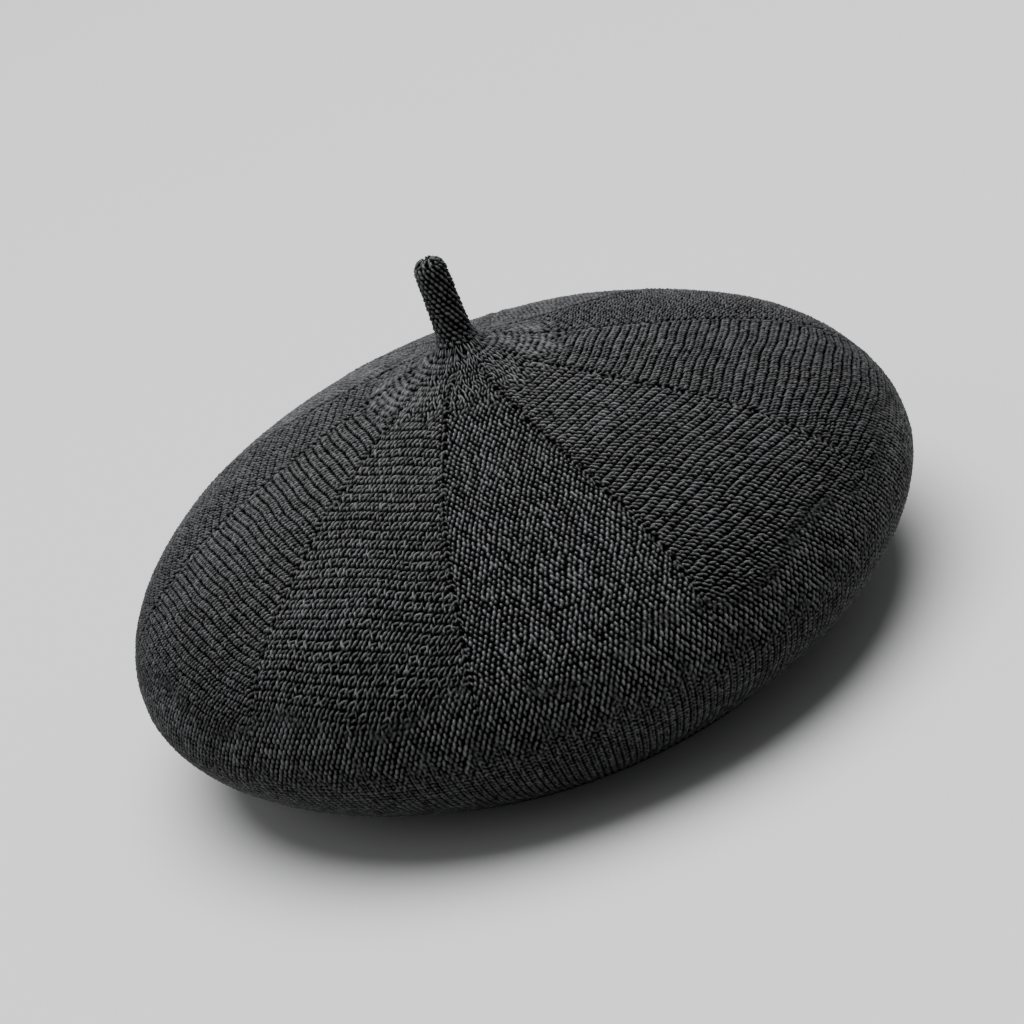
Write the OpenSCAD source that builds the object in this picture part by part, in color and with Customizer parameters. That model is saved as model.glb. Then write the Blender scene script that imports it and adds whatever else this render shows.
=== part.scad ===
// Knitted beret: ten gores, a stalk, a turned hem and a sewn-in sweatband.
// It rests on its hem at z = 0, and the crown's axis is the Z axis.

/* [Crown] */
// Radius of the crown at its widest line
rim_r = 137.5; // [130:0.5:145]
// Height of the widest line above the resting surface
rim_z = 42.5; // [41:0.5:44]
// Rise of the dome from the widest line to its top
dome_rise = 66.4; // [55:0.1:75]
// Extra rise of the soft peak at the middle of the dome
peak_rise = 13.1; // [8:0.1:16]
// Radius over which the soft peak dies away
peak_spread = 41.4; // [35:0.1:50]
// Depth of the underside below the widest line, if it closed at the middle
underside_depth = 47.7; // [46:0.1:49]
// Thickness of the knitted cloth
knit_t = 2.2; // [1.8:0.1:2.6]
// Angles at which one gore is joined to the next, going round from +X
gore_edges = [4, 40, 76, 112, 148, 183, 222, 257, 290, 325]; // ten rising angles

/* [Stalk] */
// Distance of the stalk from the crown's axis, along X
stalk_x = 5; // [4:0.5:6]
// Distance of the stalk from the crown's axis, along Y
stalk_y = -3; // [-4:0.5:-2]
// Height of the point that the stalk bends about
stalk_bend_z = 124.5; // [124:0.5:126]
// Length of the stalk from that point to its tip
stalk_len = 26.7; // [20:0.1:40]
// Radius of the stalk at its foot
foot_r = 5.8; // [5.4:0.1:6]
// Radius of the stalk at its tip
tip_r = 5.2; // [4.6:0.1:5.4]
// Radius of the cord inside the stalk
core_r = 3.2; // [2.4:0.1:3.4]

/* [Hem] */
// Thickness of one layer of the turned hem
hem_t = 1.6; // [1.4:0.1:1.8]
// Width of the channel between the hem's two layers
channel_w = 1.8; // [1.6:0.1:2]
// Height of the hem's outer layer
hem_outer_h = 9; // [8:0.5:10]
// Height of the hem's inner layer
hem_inner_h = 13; // [12:0.5:15]
// Thickness of the elastic tape
elastic_t = 1; // [0.8:0.1:1.1]
// Height of the elastic tape
elastic_h = 6; // [5:0.5:6.5]

/* [Sweatband] */
// Inner radius of the sweatband, for a head of about 57 cm
head_r = 91; // [89:0.5:92]
// Thickness of the sweatband's ribbon
ribbon_t = 0.9; // [0.7:0.1:1.1]
// Height of the sweatband's ribbon
ribbon_h = 26; // [20:0.5:28]
// Height of the ribbon's lower edge above the resting surface
ribbon_z = 2.5; // [2:0.1:3]
// Width of the tape sewn behind the ribbon's joined ends
join_tape_w = 14; // [10:1:20]
// Number of stitches that hold the ribbon to the hem
hem_stitch_count = 90; // [60:1:120]

/* [Label] */
// Width of the blank label
label_w = 32; // [24:1:40]
// Height of the label above the ribbon
label_h = 18; // [12:1:22]
// Thickness of the label
label_t = 0.5; // [0.4:0.1:0.7]

/* [Hidden] */
$fn = 90;

knit_colour = "#2b2b2d";
thread_colour = "#1b1b1c";
ribbon_colour = "#202022";
label_colour = "#3a3a3c";

clearance = 0.3;             // between the stalk and its foot, and round what lies loose
profile_steps = 24;          // stretches in each half of the crown's profile
dome_shape_r = 1.56;         // roundness of the dome: the power of the radius
dome_shape_z = 2.18;         // and the root of the height
under_shape_r = 3.6;         // the same two for the underside
under_shape_z = 1.63;
gore_top_r = 14;             // the gores end here, round the stalk's foot
foot_steps = 5;              // stretches in the profile of the foot's disc

hem_inner_r = head_r + ribbon_t;
channel_r = hem_inner_r + hem_t;
hem_outer_r = channel_r + channel_w + hem_t;
hem_round = 0.9;             // rounding of the hem's lower edges
ribbon_top_z = ribbon_z + ribbon_h;
ribbon_gap = 0.6;            // degrees between the ribbon's two ends
back_angle = 90;             // the back of the head is at +Y
join_angle = 118;            // the ribbon's ends meet beside the label
label_tuck = 6;              // height of the label's part behind the ribbon
foot_opening_r = foot_r + clearance;
collar_top_z = stalk_bend_z - 1.8;
core_len = stalk_len - 5;

// Height of the outer face of the dome above the widest line at share u of the radius,
// and of a face lying inset below it.
function dome_z(u, inset) =
    (dome_rise - inset) * pow(1 - pow(u, dome_shape_r), 1 / dome_shape_z)
    + peak_rise * exp(-u * rim_r / peak_spread) * (1 - u * u);

function under_z(u, inset) =
    -(underside_depth - inset) * pow(1 - pow(u, under_shape_r), 1 / under_shape_z);

// Profile of one face of the dome, from radius r0 out to the widest line.
function dome_line(r0, inset) =
    let (r = rim_r - inset, a = asin(r0 / r))
    [for (i = [0 : profile_steps])
        let (u = sin(a + (90 - a) * i / profile_steps))
        [r * u, rim_z + dome_z(u, inset)]];

// Profile of one face of the underside, from the widest line in to radius r1.
function under_line(r1, inset) =
    let (r = rim_r - inset, a = asin(r1 / r))
    [for (i = [1 : profile_steps])
        let (u = sin(90 - (90 - a) * i / profile_steps))
        [r * u, rim_z + under_z(u, inset)]];

// Profile of one face of the small disc that closes the dome inside the gores.
function disc_line(inset) =
    [for (i = [0 : foot_steps])
        let (r = gore_top_r * i / foot_steps)
        [r, rim_z + dome_z(r / (rim_r - inset), inset)]];

function crown_line(r0, r1, inset) = concat(dome_line(r0, inset), under_line(r1, inset));

function backwards(line) = [for (i = [len(line) - 1 : -1 : 0]) line[i]];

// Closed outline between two faces of the crown.
function crown_band(r0, r1, outer, inner) =
    concat(crown_line(r0, r1, outer), backwards(crown_line(r0, r1, inner)));

// Points on an arc about (x, z).
function arc(x, z, r, from, to, n) =
    [for (i = [0 : n])
        let (a = from + (to - from) * i / n)
        [x + r * cos(a), z + r * sin(a)]];

// A stretch of ring with a square section, from angle a to angle b.
module ring_sector(r, t, z, h, a, b) {
    rotate([0, 0, a])
        rotate_extrude(angle = b - a)
            translate([r, z])
                square([t, h]);
}

// One knitted wedge: a single strip of cloth from the stalk's foot over the rim to the hem.
module gore(i) {
    from = gore_edges[i];
    to = i < len(gore_edges) - 1 ? gore_edges[i + 1] : gore_edges[0] + 360;
    color(knit_colour)
        rotate([0, 0, from])
            rotate_extrude(angle = to - from)
                polygon(crown_band(gore_top_r, hem_outer_r, 0, knit_t));
}

// The chain of yarn that links each two gores, lying along the joint inside the crown.
module linking_yarn() {
    chain_angle = 1.2;
    chain_t = 0.7;
    color(thread_colour)
        for (a = gore_edges)
            rotate([0, 0, a - chain_angle / 2])
                rotate_extrude(angle = chain_angle)
                    polygon(crown_band(gore_top_r + 6, hem_outer_r + 6,
                        knit_t + clearance, knit_t + clearance + chain_t));
}

// The middle of the crown, which flares up into a collar round the stalk.
module stalk_foot() {
    collar_z = rim_z + dome_rise + peak_rise - 5;
    color(knit_colour)
        difference() {
            union() {
                rotate_extrude()
                    polygon(concat(disc_line(0), backwards(disc_line(knit_t))));
                translate([stalk_x, stalk_y, collar_z])
                    cylinder(r1 = foot_opening_r + 2, r2 = foot_opening_r + 1.2,
                        h = collar_top_z - collar_z);
            }
            translate([stalk_x, stalk_y, 0])
                cylinder(r = foot_opening_r, h = 2 * stalk_bend_z);
        }
}

// The knitted tube, closed at its tip and rounded below about the point it bends at.
module stalk() {
    color(knit_colour)
        translate([stalk_x, stalk_y, stalk_bend_z])
            difference() {
                rotate_extrude()
                    polygon(concat(
                        arc(0, 0, foot_r, -90, 0, 10),
                        arc(0, stalk_len - tip_r, tip_r, 0, 90, 10)));
                cylinder(r = core_r + clearance, h = core_len + clearance);
            }
}

// The cord that fills the tube.
module stalk_core() {
    color(thread_colour)
        translate([stalk_x, stalk_y, stalk_bend_z + clearance])
            cylinder(r = core_r, h = core_len - clearance);
}

// The drawn thread that gathers the gores under the foot of the stalk.
module gather_ring() {
    color(thread_colour)
        translate([stalk_x, stalk_y, stalk_bend_z - foot_r - 5])
            rotate_extrude()
                translate([foot_r + 2, 0])
                    circle(r = 1, $fn = 24);
}

// The knotted tail of the yarn, with its two ends drawn across the gathered ring.
module tail_knot() {
    end_r = 0.5;
    end_len = 2 * foot_r + 4;
    color(thread_colour)
        translate([stalk_x, stalk_y, stalk_bend_z - foot_r - 6.7]) {
            sphere(r = 2.6);
            for (a = [0, 90])
                rotate([0, 90, a])
                    cylinder(r = end_r, h = end_len, center = true);
        }
}

// The ribbed hem: knitted cloth turned up inside, with a channel between its two layers.
module hem() {
    color(knit_colour)
        rotate_extrude()
            polygon(concat(
                arc(hem_inner_r + hem_round, hem_round, hem_round, 180, 270, 4),
                arc(hem_outer_r - hem_round, hem_round, hem_round, -90, 0, 4),
                [[hem_outer_r, hem_outer_h], [hem_outer_r - hem_t, hem_outer_h],
                 [hem_outer_r - hem_t, hem_t], [channel_r, hem_t],
                 [channel_r, hem_inner_h], [hem_inner_r, hem_inner_h]]));
}

// The elastic tape that holds the hem to its size, loose in the channel.
module hem_elastic() {
    color("#4a4a4c")
        ring_sector(channel_r + (channel_w - elastic_t) / 2, elastic_t,
            hem_t + clearance, elastic_h, join_angle + 1, join_angle + 359);
}

// Whip stitches under the lower edge of the ribbon, round the inside of the hem.
module hem_stitches() {
    pitch = 360 / hem_stitch_count;
    color(thread_colour)
        for (i = [0 : hem_stitch_count - 1])
            ring_sector(hem_inner_r - 0.6, 0.6, 1.4, ribbon_z - 1.4, i * pitch, (i + 0.6) * pitch);
}

// The grosgrain ribbon that lies against the head.
module sweatband() {
    color(ribbon_colour)
        ring_sector(head_r, ribbon_t, ribbon_z, ribbon_h,
            join_angle + ribbon_gap / 2, join_angle + 360 - ribbon_gap / 2);
}

// The short tape behind the ribbon's two ends, above the hem.
module sweatband_join_tape() {
    half = join_tape_w / 2 / hem_inner_r * 180 / PI;
    color(ribbon_colour)
        ring_sector(hem_inner_r, 0.6, hem_inner_h + 1, ribbon_top_z - hem_inner_h - 2,
            join_angle - half, join_angle + half);
}

// The blank woven label, held behind the ribbon's top edge at the back.
module label() {
    half = label_w / 2 / hem_inner_r * 180 / PI;
    color(label_colour)
        ring_sector(hem_inner_r, label_t, ribbon_top_z - label_tuck, label_tuck + label_h,
            back_angle - half, back_angle + half);
}

// Two bars of stitches behind the label's lower corners.
module label_stitches() {
    half = (label_w / 2 - 3) / hem_inner_r * 180 / PI;
    color(thread_colour)
        for (a = [-half, half])
            ring_sector(hem_inner_r + label_t, 0.4, ribbon_top_z - label_tuck + 1, 3.5,
                back_angle + a - 0.6, back_angle + a + 0.6);
}

gore(0);  // gore_01
gore(1);  // gore_02
gore(2);  // gore_03
gore(3);  // gore_04
gore(4);  // gore_05
gore(5);  // gore_06
gore(6);  // gore_07
gore(7);  // gore_08
gore(8);  // gore_09
gore(9);  // gore_10
stalk_foot();
stalk();
stalk_core();
gather_ring();
tail_knot();
linking_yarn();
hem();
hem_elastic();
hem_stitches();
sweatband();
sweatband_join_tape();
label();
label_stitches();
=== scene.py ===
"""The looks of a charcoal knitted beret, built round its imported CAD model.

Lengths are in millimetres here, as in the part's own design, and build_mesh() turns them into
metres. The crown's axis is +Z, the beret rests on z = 0, and +Y is the back of the head.
"""

import math

import bpy
import numpy as np
from mathutils import Matrix


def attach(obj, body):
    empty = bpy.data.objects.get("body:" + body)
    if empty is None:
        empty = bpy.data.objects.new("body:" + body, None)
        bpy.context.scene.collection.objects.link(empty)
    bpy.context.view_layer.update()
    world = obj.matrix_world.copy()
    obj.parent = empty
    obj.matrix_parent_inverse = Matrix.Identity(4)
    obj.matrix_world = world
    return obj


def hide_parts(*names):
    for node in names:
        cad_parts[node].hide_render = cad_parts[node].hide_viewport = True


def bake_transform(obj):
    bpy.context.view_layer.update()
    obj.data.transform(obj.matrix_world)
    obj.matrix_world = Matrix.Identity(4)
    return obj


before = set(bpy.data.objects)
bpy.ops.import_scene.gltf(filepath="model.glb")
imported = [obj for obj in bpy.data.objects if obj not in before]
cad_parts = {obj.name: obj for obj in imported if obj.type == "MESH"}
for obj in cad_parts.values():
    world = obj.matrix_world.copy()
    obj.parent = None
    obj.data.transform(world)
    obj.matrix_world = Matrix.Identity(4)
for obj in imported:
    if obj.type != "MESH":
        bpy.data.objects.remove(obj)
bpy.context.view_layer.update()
MM = 0.001

# ---------------------------------------------------------------- sizes, as in the part's design
RIM_R, RIM_Z = 137.5, 42.5
DOME_RISE, PEAK_RISE, PEAK_SPREAD = 66.4, 13.1, 41.4
DOME_SHAPE = (1.56, 2.18)                    # exponents of the oval
UNDER_DEPTH, UNDER_SHAPE = 47.7, (3.6, 1.63)
KNIT_T = 2.2
GORE_EDGES = [4, 40, 76, 112, 148, 183, 222, 257, 290, 325]     # degrees round the crown
STALK_X, STALK_Y, STALK_BEND_Z, STALK_LEN = 5.0, -3.0, 124.5, 26.7
FOOT_R, TIP_R, CORE_R = 5.8, 5.2, 3.2
HEAD_R, RIBBON_T, RIBBON_H, RIBBON_Z = 91.0, 0.9, 26.0, 2.5
HEM_T, CHANNEL_W, HEM_OUTER_H, HEM_INNER_H = 1.6, 1.8, 9.0, 13.0
HEM_INNER_R = HEAD_R + RIBBON_T
HEM_OUTER_R = HEM_INNER_R + 2 * HEM_T + CHANNEL_W
ELASTIC_T, ELASTIC_H = 1.0, 6.0
BACK_ANGLE, JOIN_ANGLE = 90, 118             # degrees: the label's and the ribbon ends' places

# ---------------------------------------------------------------- camera, floor and light
VIEW_ELEVATION, VIEW_ROLL = 24.84, 21.19     # degrees: the photographed beret leans, so the view rolls
VIEW_DISTANCE = 1043.0
VIEW_LENS, SENSOR = 107.8, 36.0
VIEW_SHIFT = (-0.0079, 0.0313)
VIEW_CLIP = (0.05, 30)                       # metres
FLOOR_HALF, FLOOR_GREY = 6.0, (0.45, 0.45, 0.453, 1)
SKY, SKY_STRENGTH = (0.93, 0.94, 0.95, 1), 0.31
# Each light's name, direction from the beret, distance and size in metres, and power in watts.
LIGHTS = [
    ("key", (0.0, 0.05, 1.0), 4.5, 4.6, 650),
    ("fill", (-0.9, -0.3, 0.9), 4.0, 3.0, 20),
]


def make_camera():
    """The photograph's view of the level beret, rolled by the lean of the photographed one."""
    e, roll = math.radians(VIEW_ELEVATION), math.radians(VIEW_ROLL)
    back = np.array([0, -math.cos(e), math.sin(e)])
    level_up = np.array([0, math.sin(e), math.cos(e)])
    level_right = np.array([1.0, 0, 0])
    right = level_right * math.cos(roll) - level_up * math.sin(roll)
    up = level_right * math.sin(roll) + level_up * math.cos(roll)
    data = bpy.data.cameras.new("camera")
    data.lens, data.sensor_width = VIEW_LENS, SENSOR
    data.shift_x, data.shift_y = VIEW_SHIFT
    data.clip_start, data.clip_end = VIEW_CLIP
    camera = bpy.data.objects.new("camera", data)
    place = (np.array([0, 0, RIM_Z]) + back * VIEW_DISTANCE) * MM
    matrix = np.eye(4)
    matrix[:3, 0], matrix[:3, 1], matrix[:3, 2], matrix[:3, 3] = right, up, back, place
    camera.matrix_world = Matrix(matrix.tolist())
    bpy.context.scene.collection.objects.link(camera)
    bpy.context.scene.camera = camera


def make_light(name, direction, distance, size, power):
    """An area light that looks at the middle of the beret from that direction."""
    data = bpy.data.lights.new(name, "AREA")
    data.shape, data.size, data.energy = "DISK", size, power
    light = bpy.data.objects.new(name, data)
    d = np.array(direction, float)
    d /= np.linalg.norm(d)
    side = np.cross([0, 0, 1.0], d)
    side /= np.linalg.norm(side)
    matrix = np.eye(4)
    matrix[:3, 0], matrix[:3, 1], matrix[:3, 2] = side, np.cross(d, side), d
    matrix[:3, 3] = d * distance + np.array([0, 0, RIM_Z * MM])
    light.matrix_world = Matrix(matrix.tolist())
    bpy.context.scene.collection.objects.link(light)


def make_stage():
    """A plain pale floor under an even sky, and the studio lights."""
    world = bpy.data.worlds.new("studio")
    world.use_nodes = True
    background = world.node_tree.nodes["Background"]
    background.inputs["Color"].default_value = SKY
    background.inputs["Strength"].default_value = SKY_STRENGTH
    bpy.context.scene.world = world
    corners = [(x * FLOOR_HALF, y * FLOOR_HALF, 0) for x, y in ((-1, -1), (1, -1), (1, 1), (-1, 1))]
    mesh = bpy.data.meshes.new("floor")
    mesh.from_pydata(corners, [], [(0, 1, 2, 3)])
    floor = bpy.data.objects.new("floor", mesh)
    bpy.context.scene.collection.objects.link(floor)
    material, shader, _ = new_material("floor_paper")
    shader.inputs["Base Color"].default_value = FLOOR_GREY
    shader.inputs["Roughness"].default_value = 0.8
    shader.inputs["Specular IOR Level"].default_value = 0.2
    mesh.materials.append(material)
    for light in LIGHTS:
        make_light(*light)


# ---------------------------------------------------------------- mesh helpers
def build_mesh(name, points, faces, smooth=True, attributes=None, material=None):
    """A new object from points in millimetres. attributes are per-point values from 0 to 1."""
    mesh = bpy.data.meshes.new(name)
    mesh.from_pydata((np.asarray(points) * MM).tolist(), [], faces)
    mesh.polygons.foreach_set("use_smooth", [smooth] * len(mesh.polygons))
    for key, values in (attributes or {}).items():
        layer = mesh.attributes.new(key, "FLOAT", "POINT")
        layer.data.foreach_set("value", np.asarray(values, np.float32))
    mesh.update()
    obj = bpy.data.objects.new(name, mesh)
    bpy.context.scene.collection.objects.link(obj)
    if material is not None:
        mesh.materials.append(material)
    return obj


def grid_faces(rows, cols, first=0, wrap=False):
    """Quads between rows of points, cols to a row, as lists of point numbers."""
    across = cols if wrap else cols - 1
    i, j = np.meshgrid(np.arange(rows - 1), np.arange(across), indexing="ij")
    k = (j + 1) % cols
    quads = np.stack([i * cols + j, i * cols + k, (i + 1) * cols + k, (i + 1) * cols + j], -1)
    return (quads.reshape(-1, 4) + first).tolist()


def smooth_step(low, high, x):
    """0 up to low, 1 from high on, and a smooth rise between them."""
    t = np.clip((x - low) / (high - low), 0, 1)
    return t * t * (3 - 2 * t)


def fade(s, ends):
    """1 in the middle of a stretch and 0 outside it, with ramps at both its ends."""
    return smooth_step(ends[0], ends[1], s) * (1 - smooth_step(ends[2], ends[3], s))


def cell_noise(i, j, seed):
    """A repeatable value from 0 to 1 for each cell of a lattice."""
    n = (np.asarray(i, np.int64) * 73856093) ^ (np.asarray(j, np.int64) * 19349663)
    n = (n ^ (seed * 83492791)) & 0xFFFFFFFF
    n = ((n ^ (n >> 15)) * 2246822519) & 0xFFFFFFFF
    n = ((n ^ (n >> 13)) * 3266489917) & 0xFFFFFFFF
    return ((n ^ (n >> 16)) & 0xFFFFFF) / 0xFFFFFF


# ---------------------------------------------------------------- the crown's surface
SLUMP_REACH = 110.0      # the crown's middle leans over to the stalk within this distance
TWIST = 3.4              # sideways shift of the gore lines between the stalk and the rim
TWIST_ENDS = (8, 32, 50, 135)
COLLAR_RISE, COLLAR_SPREAD = 3.4, 1.8
DOME_POINTS, UNDER_POINTS = 3000, 2000


def gore_span(gore):
    """The azimuths of a gore's two edges, in radians."""
    start = GORE_EDGES[gore]
    end = GORE_EDGES[gore + 1] if gore + 1 < len(GORE_EDGES) else GORE_EDGES[0] + 360
    return math.radians(start), math.radians(end)


def dome_height(r):
    """Height of the dome over the rim: a flattened oval with a soft peak in the middle."""
    u = r / RIM_R
    base = DOME_RISE * np.power(np.maximum(1 - u ** DOME_SHAPE[0], 0), 1 / DOME_SHAPE[1])
    peak = PEAK_RISE * np.exp(-r / PEAK_SPREAD) * (1 - u * u)
    return base + peak


def under_height(r):
    """Height of the rolled underside against the rim."""
    u = r / RIM_R
    return -UNDER_DEPTH * np.power(np.maximum(1 - u ** UNDER_SHAPE[0], 0), 1 / UNDER_SHAPE[1])


def crown_profile():
    """Radius, height and distance from the middle along the crown's outer face."""
    out = RIM_R * np.sin(np.linspace(0, math.pi / 2, DOME_POINTS))
    hem_turn = math.asin(HEM_OUTER_R / RIM_R)
    back = RIM_R * np.sin(np.linspace(math.pi / 2, hem_turn, UNDER_POINTS))[1:]
    r = np.concatenate([out, back])
    z = RIM_Z + np.concatenate([dome_height(out), under_height(back)])
    s = np.concatenate([[0], np.cumsum(np.hypot(np.diff(r), np.diff(z)))])
    return r, z, s


PROFILE_R, PROFILE_Z, PROFILE_S = crown_profile()
S_RIM = float(PROFILE_S[DOME_POINTS - 1])
S_HEM = float(PROFILE_S[-1])
SLOPE_R = np.gradient(PROFILE_R, PROFILE_S)
SLOPE_Z = np.gradient(PROFILE_Z, PROFILE_S)


def radius_at(s):
    """Radius at a distance from the middle along the crown."""
    return np.interp(s, PROFILE_S, PROFILE_R)


def distance_at(r):
    """Distance along the dome at radius r."""
    return np.interp(r, PROFILE_R[:DOME_POINTS], PROFILE_S[:DOME_POINTS])


def crown_point(s, azimuth, lift):
    """The point at that distance and azimuth on the crown, lifted out of its face."""
    r, z = radius_at(s), np.interp(s, PROFILE_S, PROFILE_Z)
    out_r, out_z = -np.interp(s, PROFILE_S, SLOPE_Z), np.interp(s, PROFILE_S, SLOPE_R)
    lean = 0.5 * (1 + np.cos(math.pi * np.clip(s / SLUMP_REACH, 0, 1)))
    collar = COLLAR_RISE * np.exp(-np.maximum(r - FOOT_R, 0) / COLLAR_SPREAD)
    reach = r + out_r * lift
    x = reach * np.cos(azimuth) + STALK_X * lean
    y = reach * np.sin(azimuth) + STALK_Y * lean
    return np.stack([x, y, z + out_z * lift + collar * (s < S_RIM / 2)], -1)


def line_turn(s):
    """How far the gore lines are turned, in radians, at a distance from the middle."""
    return TWIST * fade(s, TWIST_ENDS) / np.maximum(radius_at(s), 5)


# ---------------------------------------------------------------- stitches
def stitches(u, v, pitch, half, lean, seed, zigzag=0.0, stagger=0.5, ribs=0.0, stray=0.13,
             around=None):
    """Yarn loops as tilted ovals on a lattice: (height from 0 to 1, tone from 0 to 1).

    u and v run across and along, in the units of pitch. half is the half length and half width
    of a loop. lean is the tilt of every loop in degrees, and zigzag tilts each second one the
    other way. ribs, from 0 to 1, makes rows of long loops and of short ones by turns, with a
    groove after each pair. stray is how far loops stray, as a share of the pitch. around is the
    number of columns after which they repeat."""
    pitch_u, pitch_v = pitch
    row0 = np.floor(v / pitch_v)
    best = np.zeros(np.shape(u))
    tone = np.full(np.shape(u), 0.5)
    for down in (-1, 0, 1):
        row = row0 + down
        odd = np.mod(row, 2)
        shift = stagger * odd
        col0 = np.floor(u / pitch_u - shift)
        short = ribs * odd
        for over in (-1, 0, 1):
            col = col0 + over
            cell = col if around is None else np.mod(col, around)
            n1, n2, n3, n4 = (cell_noise(cell, row, seed + k) for k in (1, 2, 3, 4))
            du = u - (col + 0.5 + shift + (n1 - 0.5) * 2 * stray) * pitch_u
            dv = v - (row + 0.5 - 0.2 * short + (n2 - 0.5) * 2 * stray) * pitch_v
            half_len = half[0] * (0.8 + 0.4 * n4) * (1 + 0.25 * ribs * (1 - odd) - 0.35 * short)
            half_wide = half[1] * (0.88 + 0.24 * n1)
            side = 1 - 2 * np.mod(col, 2)
            tilt = np.radians(lean * (1 - 0.5 * short) + zigzag * side + (n3 - 0.5) * 44)
            along = dv * np.cos(tilt) + du * np.sin(tilt)
            across = du * np.cos(tilt) - dv * np.sin(tilt)
            q = (along / half_len) ** 2 + (across / half_wide) ** 2
            height = np.sqrt(np.maximum(1 - q, 0)) * (0.78 + 0.32 * n2)
            higher = height > best
            best = np.where(higher, height, best)
            tone = np.where(higher, np.clip(0.75 * n4 + 0.25 + 0.2 * short, 0, 1), tone)
    phase = np.mod(v + 0.1, 2 * pitch_v)
    groove = np.minimum(phase, 2 * pitch_v - phase)
    best = best * (1 - 0.95 * ribs * np.exp(-(groove / (0.24 * pitch_v)) ** 2))
    return best, tone


def mix(a, b, share):
    """Two (height, tone) pairs, mixed."""
    return tuple(x * (1 - share) + y * share for x, y in zip(a, b))


def wander(u, v, reach):
    """u and v, bent a little as hand-finished cloth is."""
    bent_u = u + reach * (np.sin(v / 5.3 + u / 11) + 0.6 * np.sin(v / 2.9 - u / 7.7 + 1))
    bent_v = v + reach * (np.sin(u / 6.1 - v / 13) + 0.6 * np.sin(u / 3.3 + v / 9.1 + 2))
    return bent_u, bent_v


# How each gore's cloth lies: strength of its ribs, lean and zigzag of its loops in degrees,
# slant of its rows, pitches of its columns and rows, half length and half width of its loops.
GORE_LAY = [
    (0.55, 40, 0, 0.00, 1.85, 1.80, 1.30, 0.44), (0.60, -30, 0, 0.05, 1.80, 1.80, 1.32, 0.44),
    (0.55, -24, 12, 0.00, 1.70, 1.85, 1.45, 0.42), (0.60, 40, 0, -0.05, 1.85, 1.80, 1.30, 0.44),
    (0.60, -28, 8, 0.00, 1.75, 1.80, 1.32, 0.44), (0.62, -30, 10, -0.15, 1.70, 1.62, 1.24, 0.41),
    (0.55, -30, 14, -0.14, 1.70, 1.86, 1.50, 0.39), (0.00, -8, 0, -0.02, 1.84, 1.72, 0.98, 0.60),
    (0.66, 46, 0, 0.06, 1.75, 1.70, 1.28, 0.42), (0.60, 44, 0, -0.08, 1.80, 1.70, 1.28, 0.43),
]
ROW_BEND = (112, 8)             # rows turn parallel to the rim from here to this far before it
STRANDS = (46, 94, 150)         # strands round the stalk, in three rings
STRAND_ENDS = (11.0, 21.0)      # distances from the middle at which the first two rings end
STRAND_CLOTH = (32, 40)         # the strands give way to the gores' own cloth here
RIM_CLOTH = (144, 156)          # and the gores' cloth to the stitches round the rim here
RIM_COLUMNS = 432
WALES = 344                     # columns of V-shaped stitches under the rim
SEAM_PITCH = 4.2                # distance between the eyelets of a seam
SEAM_ENDS = (14.5, 18, 153, 161)        # a seam fades in and out between these, from the middle
SEAM_NARROWS = (138, 156)               # and it narrows from one of these to the other
EYELET_ENDS = (16, 34, 138, 158)        # its eyelets fade in and out between these
SEAM_HALF = (0.95, 1.4)         # it gives way to the cloth between these distances from its line
YARN_MIDDLE = 0.68              # yarn height, from 0 to 1, that lies at the CAD face
RELIEF = 0.95                   # depth of the knit


def strands(azimuth, s):
    """The loops round the stalk, drawn out into strands that run up to it."""
    lean_in = 0.35 * np.sin(s / 2.3 + azimuth * 5)
    rings = []
    for count in STRANDS:
        column = azimuth * count / (2 * math.pi) + lean_in
        rings.append(stitches(column, s, (1.0, 2.35), (1.4, 0.33), 0, 3, stray=0.16, around=count))
    wave = np.sin(azimuth * 23)
    first, second = (smooth_step(end - 1.2, end + 1.2, s + wave) for end in STRAND_ENDS)
    return mix(mix(rings[0], rings[1], first), rings[2], second)


def rim_stitches(azimuth, s):
    """The loops round the rim, in columns all round, that turn into V-shaped stitches below."""
    along = azimuth * RIM_R
    wide = 2 * math.pi * RIM_R / RIM_COLUMNS
    lean = 40 * np.maximum(np.cos(azimuth), 0) - 16
    grain = stitches(along, s, (wide, 1.7), (1.12, 0.6), lean, 7, stray=0.1, around=RIM_COLUMNS)
    leg = 2 * math.pi * RIM_R / (2 * WALES)
    legs = stitches(along, s, (leg, 1.75), (1.2, 0.5), 0, 8, zigzag=24, stagger=0, stray=0.06,
                    around=2 * WALES)
    sunk = 0.7 + 0.3 * np.cos(2 * math.pi * (along / leg / 2))
    legs = (legs[0] * sunk, legs[1])
    ragged = 3 * np.sin(azimuth * 41) + 3 * np.sin(azimuth * 113 + 1)
    return mix(grain, legs, smooth_step(S_RIM - 8, S_RIM + 9, s + ragged))


def seam_relief(s, d, seed):
    """The chain that links two gores, at distance d to its side, with a row of eyelets in it, whose low
    yarn height the material paints as dark shade.
    """
    height, tone = stitches(d, s, (1.15, 2.1), (1.3, 0.5), 0, seed, zigzag=30, stagger=0.2)
    k = np.floor(s / SEAM_PITCH)
    ds = (s / SEAM_PITCH - k - 0.5) * SEAM_PITCH
    stray, size = cell_noise(k, k * 0, seed + 20) - 0.5, cell_noise(k, k * 0, seed + 50)
    across, along = (d - 0.2 - 0.9 * stray) / 0.55, (ds + 2 * stray) / (0.5 + 0.4 * size)
    hole = (0.7 + 0.9 * size) * np.exp(-across ** 2 - along ** 2) * fade(s, EYELET_ENDS)
    return 0.92 * height - 0.1 - hole, 0.2 + 0.6 * tone


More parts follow.
